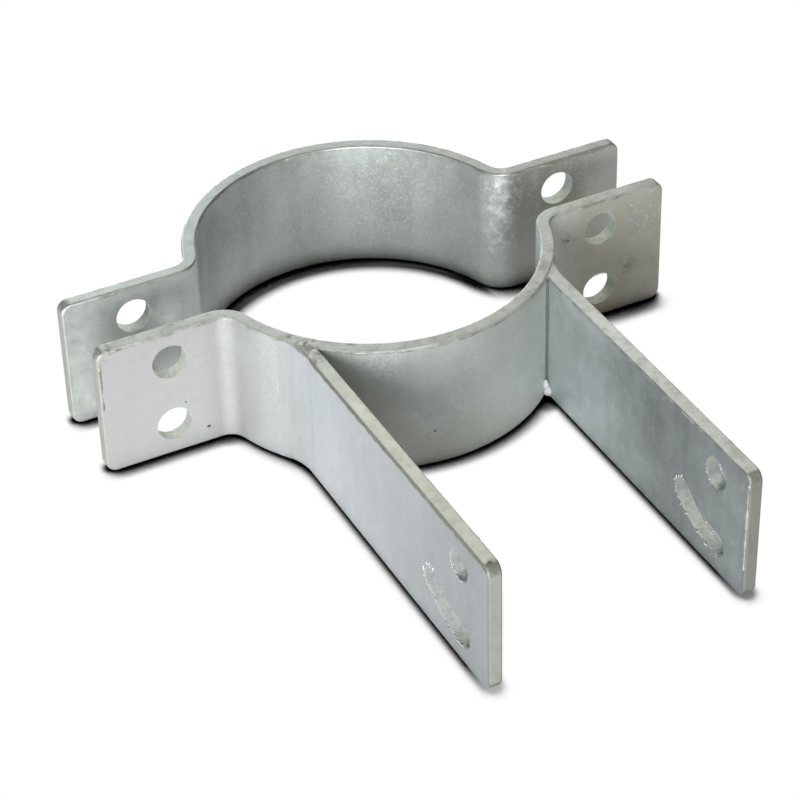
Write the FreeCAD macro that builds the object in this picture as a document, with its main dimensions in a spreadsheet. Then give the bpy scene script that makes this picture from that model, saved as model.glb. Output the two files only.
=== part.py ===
"""Mirror post bracket: a two-part clamp for a round sign post, with two arms for a road mirror.

Millimetres. Z is the post's axis, the bracket stands on z = 0 and the arms point along -Y.
"""
import FreeCAD
import Part
import Sketcher
import enum
import math
import os

DRIVING_SIZES = {
    "bar_height": 50.0,  # flat bar of the straps and arms, standing on edge
    "bar_thickness": 5.0,
    "edge_radius": 0.8,  # the bar's rolled edges
    "rim_radius": 0.6,  # the edges of the arms' holes and slots, under their zinc
    "post_bore": 117.0,  # inside diameter of the clamp
    "closed_gap": 17.6,  # between the facing flanges when both halves share the post's axis
    "rear_setback": 8.6,  # how far the loose rear half stands back from there
    "bend_radius": 6.3,  # inside radius between the arc and a flange
    "clamp_width": 220.0,
    "flange_corner": 4.0,
    "bolt_hole": 13.0,
    "bolt_spread": 168.0,
    "bolt_pitch": 26.0,
    "arm_spread": 97.5,  # over the outer faces of the arms
    "arm_reach": 173.0,  # from the post's axis to the arm's end
    "arm_corner": 4.0,
    "pivot_hole": 11.0,
    "pivot_from_end": 19.0,
    "pivot_from_top": 12.0,
    "slot_radius": 27.0,  # the tilt slot's centre line, about the pivot hole
    "slot_width": 9.0,
    "slot_end_angle": 4.0,  # from straight below the pivot towards the arm's end, in degrees
    "slot_ring_angle": 43.5,  # from straight below the pivot towards the ring, in degrees
    "weld_leg": 5.0,  # the bead's toe on the arm's outer face
    "weld_spread": 3.0,  # the bead's toe on the strap, out from the arm's outer face
    "weld_face_radius": 20.0,
    "weld_inset": 1.0,  # the bead stops this far from the bar's edges
}

# Formulas shared by several sketches
STRAP_RADIUS = "Sizes.post_bore / 2 + Sizes.bar_thickness"
ARM_INNER_FACE = "Sizes.arm_spread / 2 - Sizes.bar_thickness"
ARM_ROOT = f"sqrt(({STRAP_RADIUS})^2 - ({ARM_INNER_FACE})^2)"


class Point(enum.IntEnum):
    """The points of a piece of sketch geometry."""

    START = 1
    END = 2
    CENTRE = 3


class Axis(enum.IntEnum):
    """The axes of a sketch, as geometry."""

    LEVEL = -1
    UPRIGHT = -2


ORIGIN = (Axis.LEVEL, Point.START)
SMOOTH_ANGLE = 45.0
TOUCHING = 1e-4

doc = FreeCAD.newDocument("mirror_post_bracket")
sheet = doc.addObject("Spreadsheet::Sheet", "Sizes")
for row, (alias, value) in enumerate(DRIVING_SIZES.items(), start=1):
    sheet.set(f"A{row}", alias)
    sheet.set(f"B{row}", str(value))
    sheet.setAlias(f"B{row}", alias)
doc.recompute()


def new_body(label):
    body = doc.addObject("PartDesign::Body", label)
    body.Label = label
    return body


def origin_plane(body, role):
    return next(plane for plane in body.Origin.OriginFeatures if plane.Role == role)


def new_sketch(body, name, role):
    sketch = body.newObject("Sketcher::SketchObject", name)
    sketch.AttachmentSupport = [(origin_plane(body, role), "")]
    sketch.MapMode = "FlatFace"
    return sketch


def add_line(sketch, start, end, construction=False):
    segment = Part.LineSegment(FreeCAD.Vector(*start, 0), FreeCAD.Vector(*end, 0))
    return sketch.addGeometry(segment, construction)


def add_arc(sketch, centre, radius, start, end):
    circle = Part.Circle(FreeCAD.Vector(*centre, 0), FreeCAD.Vector(0, 0, 1), radius)
    return sketch.addGeometry(Part.ArcOfCircle(circle, start, end))


def add_circle(sketch, centre, radius):
    return sketch.addGeometry(Part.Circle(FreeCAD.Vector(*centre, 0), FreeCAD.Vector(0, 0, 1), radius))


def constrain(sketch, kind, *points):
    sketch.addConstraint(Sketcher.Constraint(kind, *points))


def dimension(sketch, name, formula, kind, *points_and_value):
    """Add a named dimension that follows a formula of the sheet's sizes."""
    index = sketch.addConstraint(Sketcher.Constraint(kind, *points_and_value))
    sketch.renameConstraint(index, name)
    sketch.setExpression(f"Constraints.{name}", formula)


def pad(body, sketch, name, length):
    feature = body.newObject("PartDesign::Pad", name)
    feature.Profile = sketch
    feature.setExpression("Length", length)
    doc.recompute()
    return feature


def cut_through(body, sketch, name):
    """Pocket a sketch right through the piece, against the sketch plane's own cutting side."""
    before = body.Shape.Volume
    feature = body.newObject("PartDesign::Pocket", name)
    feature.Profile = sketch
    feature.Type = "ThroughAll"
    feature.Reversed = True
    doc.recompute()
    if body.Shape.Volume >= before:
        raise RuntimeError(f"{body.Label}: {name} cuts nothing")
    return feature


def mirror_across_middle(body, original, name):
    feature = body.newObject("PartDesign::Mirrored", name)
    feature.Originals = [original]
    feature.MirrorPlane = (origin_plane(body, "YZ_Plane"), [""])
    body.Tip = feature
    doc.recompute()
    return feature


def round_edges(body, base, name, chosen, radius):
    """Fillet the edges of the base feature for which chosen(shape, edge) holds."""
    numbered = enumerate(base.Shape.Edges, start=1)
    names = [f"Edge{number}" for number, edge in numbered if chosen(base.Shape, edge)]
    feature = body.newObject("PartDesign::Fillet", name)
    feature.Base = (base, names)
    feature.setExpression("Radius", radius)
    doc.recompute()
    return feature


def is_sharp(shape, edge):
    """Tell whether the two faces at an edge meet at an angle, not smoothly."""
    middle = edge.valueAt((edge.FirstParameter + edge.LastParameter) / 2)
    normals = []
    for face in shape.ancestorsOfType(edge, Part.Face):
        normals.append(face.normalAt(*face.Surface.parameter(middle)))
    return math.degrees(normals[0].getAngle(normals[-1])) > SMOOTH_ANGLE


def lies_at(edge, axis, place):
    """Tell whether both ends of an edge are at one coordinate, in size."""
    return all(abs(abs(vertex.Point[axis]) - place) < TOUCHING for vertex in edge.Vertexes)


def runs_along(edge, axis):
    ends = [vertex.Point for vertex in edge.Vertexes]
    others = [other for other in range(3) if other != axis]
    return all(abs(ends[0][other] - ends[-1][other]) < TOUCHING for other in others)


# Clamp halves
def strap_profile(body):
    """Sketch half of the strap seen from above: arc, bend and flange, right of the middle."""
    bore = sheet.post_bore / 2
    outside = bore + sheet.bar_thickness
    half_width = sheet.clamp_width / 2
    gap_y = -sheet.closed_gap / 2
    face_y = gap_y - sheet.bar_thickness
    bend_y = face_y - sheet.bend_radius
    bend_outside = sheet.bend_radius + sheet.bar_thickness
    bend_x = math.sqrt((bore + bend_outside) ** 2 - bend_y ** 2)
    lean = math.atan2(bend_y, bend_x)

    sketch = new_sketch(body, "strap_profile", "XY_Plane")
    inner = add_arc(sketch, (0, 0), bore, -math.pi / 2, lean)
    outer = add_arc(sketch, (0, 0), outside, -math.pi / 2, lean)
    bend_wide = add_arc(sketch, (bend_x, bend_y), bend_outside, math.pi / 2, math.pi + lean)
    bend_tight = add_arc(sketch, (bend_x, bend_y), sheet.bend_radius, math.pi / 2, math.pi + lean)
    gap_face = add_line(sketch, (bend_x, gap_y), (half_width, gap_y))
    bolt_face = add_line(sketch, (bend_x, face_y), (half_width, face_y))
    end_face = add_line(sketch, (half_width, gap_y), (half_width, face_y))
    middle = add_line(sketch, (0, -bore), (0, -outside))
    spoke = add_line(sketch, (0, 0), (bend_x, bend_y), construction=True)

    for curve in (inner, outer):
        constrain(sketch, "Coincident", curve, Point.CENTRE, *ORIGIN)
    constrain(sketch, "Coincident", spoke, Point.START, *ORIGIN)
    for bend, curve, face in ((bend_wide, inner, gap_face), (bend_tight, outer, bolt_face)):
        constrain(sketch, "Coincident", bend, Point.CENTRE, spoke, Point.END)
        constrain(sketch, "Coincident", curve, Point.END, bend, Point.END)
        constrain(sketch, "PointOnObject", curve, Point.END, spoke)
        constrain(sketch, "Tangent", bend, Point.START, face, Point.START)
        constrain(sketch, "Horizontal", face)
    constrain(sketch, "Coincident", gap_face, Point.END, end_face, Point.START)
    constrain(sketch, "Coincident", bolt_face, Point.END, end_face, Point.END)
    constrain(sketch, "Vertical", end_face)
    constrain(sketch, "Coincident", inner, Point.START, middle, Point.START)
    constrain(sketch, "Coincident", outer, Point.START, middle, Point.END)
    constrain(sketch, "PointOnObject", middle, Point.START, Axis.UPRIGHT)
    constrain(sketch, "PointOnObject", middle, Point.END, Axis.UPRIGHT)

    dimension(sketch, "bore_radius", "Sizes.post_bore / 2", "Radius", inner, bore)
    dimension(sketch, "strap_radius", STRAP_RADIUS, "Radius", outer, outside)
    dimension(sketch, "bend", "Sizes.bend_radius", "Radius", bend_tight, sheet.bend_radius)
    dimension(sketch, "half_width", "Sizes.clamp_width / 2",
              "DistanceX", *ORIGIN, gap_face, Point.END, half_width)
    dimension(sketch, "half_gap", "Sizes.closed_gap / 2", "DistanceY", gap_face, Point.END, *ORIGIN, -gap_y)
    return sketch


def bolt_holes(body):
    """Sketch the right flange's two bolt holes, one above the other about the bar's middle."""
    across = sheet.bolt_spread / 2
    middle = sheet.bar_height / 2
    sketch = new_sketch(body, "bolt_holes", "XZ_Plane")
    for name, side in (("lower", -1), ("upper", 1)):
        rise = middle + side * sheet.bolt_pitch / 2
        hole = add_circle(sketch, (across, rise), sheet.bolt_hole / 2)
        sign = "+" if side > 0 else "-"
        dimension(sketch, f"{name}_size", "Sizes.bolt_hole", "Diameter", hole, sheet.bolt_hole)
        dimension(sketch, f"{name}_across", "Sizes.bolt_spread / 2",
                  "DistanceX", *ORIGIN, hole, Point.CENTRE, across)
        dimension(sketch, f"{name}_rise", f"Sizes.bar_height / 2 {sign} Sizes.bolt_pitch / 2",
                  "DistanceY", *ORIGIN, hole, Point.CENTRE, rise)
    return sketch


def clamp_half(label):
    """Make one strap, as the front half lies: a half ring with a bolted flange on each side."""
    body = new_body(label)
    half = pad(body, strap_profile(body), "strap", "Sizes.bar_height")
    whole = mirror_across_middle(body, half, "both_sides")
    half_width = sheet.clamp_width / 2
    cornered = round_edges(
        body, whole, "flange_corners",
        lambda shape, edge: lies_at(edge, 0, half_width) and runs_along(edge, 1),
        "Sizes.flange_corner")
    round_edges(body, cornered, "rolled_edges", is_sharp, "Sizes.edge_radius")
    holes = cut_through(body, bolt_holes(body), "right_bolt_holes")
    mirror_across_middle(body, holes, "left_bolt_holes")
    return body


# Arms
def arm_outline(body):
    """Sketch the arm's side: a plain bar, square where it meets the strap."""
    reach = sheet.arm_reach
    height = sheet.bar_height
    inner_face = sheet.arm_spread / 2 - sheet.bar_thickness
    root = math.sqrt((sheet.post_bore / 2 + sheet.bar_thickness) ** 2 - inner_face ** 2)
    corners = [(-reach, 0), (-root, 0), (-root, height), (-reach, height)]
    sketch = new_sketch(body, "arm_outline", "YZ_Plane")
    bottom, butt, top, end = [
        add_line(sketch, corner, corners[(index + 1) % 4]) for index, corner in enumerate(corners)]
    for before, after in ((bottom, butt), (butt, top), (top, end), (end, bottom)):
        constrain(sketch, "Coincident", before, Point.END, after, Point.START)
    for level in (bottom, top):
        constrain(sketch, "Horizontal", level)
    for upright in (butt, end):
        constrain(sketch, "Vertical", upright)
    constrain(sketch, "PointOnObject", bottom, Point.START, Axis.LEVEL)
    dimension(sketch, "reach", "Sizes.arm_reach", "DistanceX", bottom, Point.START, *ORIGIN, reach)
    dimension(sketch, "root", ARM_ROOT, "DistanceX", bottom, Point.END, *ORIGIN, root)
    dimension(sketch, "height", "Sizes.bar_height", "DistanceY", butt, Point.START, butt, Point.END, height)
    return sketch


def mirror_openings(body):
    """Sketch the mirror's pivot hole and the arc slot below it that lets the mirror tilt."""
    pivot = (sheet.pivot_from_end - sheet.arm_reach, sheet.bar_height - sheet.pivot_from_top)
    near = sheet.slot_radius - sheet.slot_width / 2
    far = sheet.slot_radius + sheet.slot_width / 2
    down = math.pi * 3 / 2
    end_turn = down - math.radians(sheet.slot_end_angle)
    ring_turn = down + math.radians(sheet.slot_ring_angle)

    def on_slot(turn):
        reach = sheet.slot_radius
        return (pivot[0] + reach * math.cos(turn), pivot[1] + reach * math.sin(turn))

    sketch = new_sketch(body, "mirror_openings", "YZ_Plane")
    hole = add_circle(sketch, pivot, sheet.pivot_hole / 2)
    inner = add_arc(sketch, pivot, near, end_turn, ring_turn)
    outer = add_arc(sketch, pivot, far, end_turn, ring_turn)
    ring_cap = add_arc(sketch, on_slot(ring_turn), sheet.slot_width / 2, ring_turn, ring_turn + math.pi)
    end_cap = add_arc(sketch, on_slot(end_turn), sheet.slot_width / 2, end_turn - math.pi, end_turn)

    for curve in (inner, outer):
        constrain(sketch, "Coincident", curve, Point.CENTRE, hole, Point.CENTRE)
    constrain(sketch, "Tangent", outer, Point.END, ring_cap, Point.START)
    constrain(sketch, "Tangent", ring_cap, Point.END, inner, Point.END)
    constrain(sketch, "Tangent", inner, Point.START, end_cap, Point.START)
    constrain(sketch, "Tangent", end_cap, Point.END, outer, Point.START)

    dimension(sketch, "pivot_size", "Sizes.pivot_hole", "Diameter", hole, sheet.pivot_hole)
    dimension(sketch, "pivot_along", "Sizes.arm_reach - Sizes.pivot_from_end",
              "DistanceX", hole, Point.CENTRE, *ORIGIN, -pivot[0])
    dimension(sketch, "pivot_rise", "Sizes.bar_height - Sizes.pivot_from_top",
              "DistanceY", *ORIGIN, hole, Point.CENTRE, pivot[1])
    dimension(sketch, "slot_near", "Sizes.slot_radius - Sizes.slot_width / 2", "Radius", inner, near)
    dimension(sketch, "slot_far", "Sizes.slot_radius + Sizes.slot_width / 2", "Radius", outer, far)
    dimension(sketch, "slot_to_ring", "Sizes.slot_radius * sin(Sizes.slot_ring_angle)",
              "DistanceX", hole, Point.CENTRE, ring_cap, Point.CENTRE, on_slot(ring_turn)[0] - pivot[0])
    dimension(sketch, "slot_to_end", "Sizes.slot_radius * sin(Sizes.slot_end_angle)",
              "DistanceX", end_cap, Point.CENTRE, hole, Point.CENTRE, pivot[0] - on_slot(end_turn)[0])
    return sketch


def arm(label, near_face):
    """Make one arm, whose face nearest -X lies at the formula near_face."""
    body = new_body(label)
    bar = pad(body, arm_outline(body), "bar", "Sizes.bar_thickness")
    cornered = round_edges(
        body, bar, "end_corners",
        lambda shape, edge: lies_at(edge, 1, sheet.arm_reach) and runs_along(edge, 0),
        "Sizes.arm_corner")
    butt = min(abs(vertex.Point[1]) for vertex in cornered.Shape.Vertexes)

    def is_free_edge(shape, edge):
        return is_sharp(shape, edge) and not lies_at(edge, 1, butt)

    round_edges(body, cornered, "rolled_edges", is_free_edge, "Sizes.edge_radius")
    pierced = cut_through(body, mirror_openings(body), "pivot_and_slot")
    round_edges(body, pierced, "opening_rims", is_free_edge, "Sizes.rim_radius")
    body.setExpression("Placement.Base.x", near_face)
    return body


# Welds
def weld_profile(body):
    """Sketch the right bead from above: it fills the wedge between the arm's square end and the strap."""
    outer_face = sheet.arm_spread / 2
    inner_face = outer_face - sheet.bar_thickness
    outside = sheet.post_bore / 2 + sheet.bar_thickness
    root = math.sqrt(outside ** 2 - inner_face ** 2)
    toe_x = outer_face + sheet.weld_spread
    strap_toe = FreeCAD.Vector(toe_x, -math.sqrt(outside ** 2 - toe_x ** 2), 0)
    arm_toe = FreeCAD.Vector(outer_face, -root - sheet.weld_leg, 0)
    chord = strap_toe - arm_toe
    inward = FreeCAD.Vector(-chord.y, chord.x, 0).normalize()
    depth = math.sqrt(sheet.weld_face_radius ** 2 - (chord.Length / 2) ** 2)
    crown = (strap_toe + arm_toe) / 2 + inward * depth

    sketch = new_sketch(body, "weld_profile", "XY_Plane")
    butt = add_line(sketch, (inner_face, -root), (outer_face, -root))
    side = add_line(sketch, (outer_face, -root), (arm_toe.x, arm_toe.y))
    face = add_arc(sketch, (crown.x, crown.y), sheet.weld_face_radius,
                   math.atan2(arm_toe.y - crown.y, arm_toe.x - crown.x),
                   math.atan2(strap_toe.y - crown.y, strap_toe.x - crown.x))
    seat = add_arc(sketch, (0, 0), outside, math.atan2(-root, inner_face),
                   math.atan2(strap_toe.y, strap_toe.x))

    constrain(sketch, "Horizontal", butt)
    constrain(sketch, "Vertical", side)
    constrain(sketch, "Coincident", butt, Point.END, side, Point.START)
    constrain(sketch, "Coincident", side, Point.END, face, Point.START)
    constrain(sketch, "Coincident", face, Point.END, seat, Point.END)
    constrain(sketch, "Coincident", seat, Point.START, butt, Point.START)
    constrain(sketch, "Coincident", seat, Point.CENTRE, *ORIGIN)
    dimension(sketch, "strap_radius", STRAP_RADIUS, "Radius", seat, outside)
    dimension(sketch, "inner_face", ARM_INNER_FACE, "DistanceX", *ORIGIN, butt, Point.START, inner_face)
    dimension(sketch, "outer_face", "Sizes.arm_spread / 2",
              "DistanceX", *ORIGIN, butt, Point.END, outer_face)
    dimension(sketch, "arm_toe", "Sizes.weld_leg",
              "DistanceY", side, Point.END, side, Point.START, sheet.weld_leg)
    dimension(sketch, "strap_toe", "Sizes.arm_spread / 2 + Sizes.weld_spread",
              "DistanceX", *ORIGIN, face, Point.END, toe_x)
    dimension(sketch, "face", "Sizes.weld_face_radius", "Radius", face, sheet.weld_face_radius)
    return sketch


def weld_bead(label):
    """Make one bead, as the right one lies, from just above the bar's bottom to just below its top."""
    body = new_body(label)
    pad(body, weld_profile(body), "bead", "Sizes.bar_height - 2 * Sizes.weld_inset")
    body.setExpression("Placement.Base.z", "Sizes.weld_inset")
    return body


# Assembly
front = clamp_half("front_clamp_half")

rear = clamp_half("rear_clamp_half")
rear.Placement.Rotation = FreeCAD.Rotation(FreeCAD.Vector(0, 0, 1), 180)
rear.setExpression("Placement.Base.y", "Sizes.rear_setback")

left_arm = arm("left_arm", "-Sizes.arm_spread / 2")
right_arm = arm("right_arm", ARM_INNER_FACE)

right_weld = weld_bead("right_weld_bead")

left_weld = weld_bead("left_weld_bead")
left_weld.Placement.Rotation = FreeCAD.Rotation(FreeCAD.Vector(0, 1, 0), 180)
left_weld.setExpression("Placement.Base.z", "Sizes.bar_height - Sizes.weld_inset")

doc.recompute()

failed = [item.Label for item in doc.Objects if {"Invalid", "Error"} & set(item.State)]
if failed:
    raise RuntimeError(f"These objects failed: {failed}")
pieces = [front, rear, left_arm, right_arm, left_weld, right_weld]
for piece in pieces:
    if piece.Shape.isNull() or not piece.Shape.isValid():
        raise RuntimeError(f"{piece.Label} has no valid shape")

os.makedirs("parts", exist_ok=True)
for piece in pieces:
    piece.Shape.exportStep(f"parts/{piece.Label}.step")
    box = piece.Shape.optimalBoundingBox()
    print(f"{piece.Label}: {piece.Shape.Volume:.0f} mm3, "
          f"x {box.XMin:.2f} to {box.XMax:.2f}, y {box.YMin:.2f} to {box.YMax:.2f}, "
          f"z {box.ZMin:.2f} to {box.ZMax:.2f}")
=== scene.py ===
"""Mirror post bracket: a galvanised two-part post clamp with two welded mirror arms, on a white floor."""
import math

import bmesh
import bpy
from mathutils import Matrix, Vector, noise


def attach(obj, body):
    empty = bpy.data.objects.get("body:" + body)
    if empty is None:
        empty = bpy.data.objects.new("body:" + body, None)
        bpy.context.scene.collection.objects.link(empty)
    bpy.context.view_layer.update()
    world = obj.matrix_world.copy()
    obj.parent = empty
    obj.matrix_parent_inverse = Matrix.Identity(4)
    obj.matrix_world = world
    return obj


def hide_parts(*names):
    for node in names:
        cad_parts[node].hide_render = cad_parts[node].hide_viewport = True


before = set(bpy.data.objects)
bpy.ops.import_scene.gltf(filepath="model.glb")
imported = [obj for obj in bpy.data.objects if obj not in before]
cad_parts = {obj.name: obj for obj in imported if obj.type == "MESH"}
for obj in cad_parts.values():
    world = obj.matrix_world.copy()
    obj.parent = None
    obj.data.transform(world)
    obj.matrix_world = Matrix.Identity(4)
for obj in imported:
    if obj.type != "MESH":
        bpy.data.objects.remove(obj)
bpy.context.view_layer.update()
scene = bpy.context.scene
scene.view_settings.view_transform = "Standard"

MM = 0.001

# Sizes of the bracket in millimetres, as in the part's source
BAR_HEIGHT = 50.0
BAR_THICKNESS = 5.0
STRAP_RADIUS = 63.5
BOLT_FACE = -13.8
BEND_RADIUS = 6.3
BEND_CENTRE = (66.84, -20.1)
FLANGE_END = 110.0
REAR_SETBACK = 8.6
BOLT_ACROSS = 84.0
BOLT_RISE = 13.0
BOLT_HOLE = 13.0
ARM_INNER = 43.75
ARM_OUTER = 48.75
ARM_END = -173.0
ARM_ROOT = -46.02
PIVOT = (-154.0, 38.0)
PIVOT_HOLE = 11.0
SLOT_RADIUS = 27.0
SLOT_WIDTH = 9.0
SLOT_END_ANGLE = 4.0
SLOT_RING_ANGLE = 43.5


def linear(code):
    """Turn an sRGB hex colour into the linear colour that the nodes take."""
    channels = [int(code[place:place + 2], 16) / 255 for place in (1, 3, 5)]
    return [c / 12.92 if c <= 0.04045 else ((c + 0.055) / 1.055) ** 2.4 for c in channels] + [1.0]


# Short names for the node kinds that come up often
MATH = "ShaderNodeMath"
VECTOR = "ShaderNodeVectorMath"
RANGE = "ShaderNodeMapRange"
MIX = "ShaderNodeMix"
NOISE = "ShaderNodeTexNoise"
SPLIT = "ShaderNodeSeparateXYZ"
OCCLUSION = "ShaderNodeAmbientOcclusion"

# Sockets of the mix node when it mixes colours, and settings that come up often
FACTOR = 0
FIRST = 6
SECOND = 7
COLOURS = {"give": 2, "data_type": "RGBA"}
SMOOTH = {"interpolation_type": "SMOOTHSTEP"}
SKY = {"give": "AO", "samples": 12}


def add_node(tree, kind, inputs=(), give=0, **settings):
    """Add a node with its settings and fill its inputs with values or links.

    Returns the output that give names, or the node itself where give is None.
    """
    node = tree.nodes.new(kind)
    for name, value in settings.items():
        setattr(node, name, value)
    for socket, value in inputs.items() if isinstance(inputs, dict) else enumerate(inputs):
        if isinstance(value, bpy.types.NodeSocket):
            tree.links.new(value, node.inputs[socket])
        else:
            node.inputs[socket].default_value = value
    return node if give is None else node.outputs[give]


def new_material(name):
    """Make a material with an empty tree and its output node."""
    material = bpy.data.materials.new(name)
    material.use_nodes = True
    tree = material.node_tree
    tree.nodes.clear()
    return material, tree, add_node(tree, "ShaderNodeOutputMaterial", give=None)


def on_slot(angle):
    """The point of the tilt slot's centre line at an angle from straight below the pivot, in degrees."""
    turn = math.radians(angle)
    return (PIVOT[0] + SLOT_RADIUS * math.sin(turn), PIVOT[1] - SLOT_RADIUS * math.cos(turn))


# The mask of an opening's wall fades out between these two distances from the wall, in millimetres
WALL_SOFT = 0.05
WALL_RIM = 0.25


def bolt_hole_walls(tree, place):
    """Mask of the punched walls of a clamp half's four bolt holes."""
    axes = add_node(tree, SPLIT, [place], give=None).outputs
    side = add_node(tree, MATH, [axes["X"]], operation="ABSOLUTE")
    from_middle = add_node(tree, MATH, [axes["Z"], BAR_HEIGHT / 2 * MM], operation="SUBTRACT")
    height = add_node(tree, MATH, [from_middle], operation="ABSOLUTE")
    quarter = add_node(tree, "ShaderNodeCombineXYZ", [side, 0.0, height])
    hole = (BOLT_ACROSS * MM, 0, BOLT_RISE * MM)
    reach = add_node(tree, VECTOR, [quarter, hole], give="Value", operation="DISTANCE")
    wall = BOLT_HOLE / 2 * MM
    return add_node(tree, RANGE, [reach, wall + WALL_SOFT * MM, wall + WALL_RIM * MM, 1.0, 0.0])


def mirror_opening_walls(tree, place):
    """Mask of the walls of an arm's pivot hole and tilt slot, up to their rounded rims."""
    soft = WALL_SOFT * MM
    rim = WALL_RIM * MM
    pivot = (0, PIVOT[0] * MM, PIVOT[1] * MM)
    side = add_node(tree, VECTOR, [place, (0, 1, 1)], operation="MULTIPLY")
    spoke = add_node(tree, VECTOR, [side, pivot], operation="SUBTRACT")
    reach = add_node(tree, VECTOR, [spoke], give="Value", operation="LENGTH")
    past_line = add_node(tree, MATH, [reach, SLOT_RADIUS * MM], operation="SUBTRACT")
    off_line = add_node(tree, MATH, [past_line], operation="ABSOLUTE")
    way = add_node(tree, VECTOR, [spoke], operation="NORMALIZE")
    middle = math.radians((SLOT_RING_ANGLE - SLOT_END_ANGLE) / 2)
    half_sweep = math.radians((SLOT_RING_ANGLE + SLOT_END_ANGLE) / 2)
    centre_way = (0, math.sin(middle), -math.cos(middle))
    facing = add_node(tree, VECTOR, [way, centre_way], give="Value", operation="DOT_PRODUCT")
    in_sweep = add_node(tree, MATH, [facing, math.cos(half_sweep)], operation="GREATER_THAN")
    wall = SLOT_WIDTH / 2 * MM
    near_line = add_node(tree, RANGE, [off_line, wall + soft, wall + rim, 1.0, 0.0])
    mask = add_node(tree, MATH, [near_line, in_sweep], operation="MULTIPLY")
    rounds = [(PIVOT, PIVOT_HOLE / 2 * MM)]
    rounds += [(on_slot(angle), wall) for angle in (-SLOT_END_ANGLE, SLOT_RING_ANGLE)]
    for centre, radius in rounds:
        hub = (0, centre[0] * MM, centre[1] * MM)
        gap = add_node(tree, VECTOR, [side, hub], give="Value", operation="DISTANCE")
        near = add_node(tree, RANGE, [gap, radius + soft, radius + rim, 1.0, 0.0])
        mask = add_node(tree, MATH, [mask, near], operation="MAXIMUM")
    return mask


# Tones of the zinc that are the same on every plate
PALE_CRYSTAL = "#D2D6D3"
DARK_CRYSTAL = "#5E635F"
# Painted shade for the rounded edge at a bar's end
EDGE_SHADE_PAINT = "#74766E"
TOP_PATCH = "#7B7A70"
WALL_FLECK = "#8A8C85"
WALL_ROUGHNESS = 0.95

# Share of the upper edge's own tone, and the stretch of the arms along Y that blends to the ring's, in mm
TOP_SHARE = 0.85
ROOT_BLEND = (-82, -52)


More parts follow.
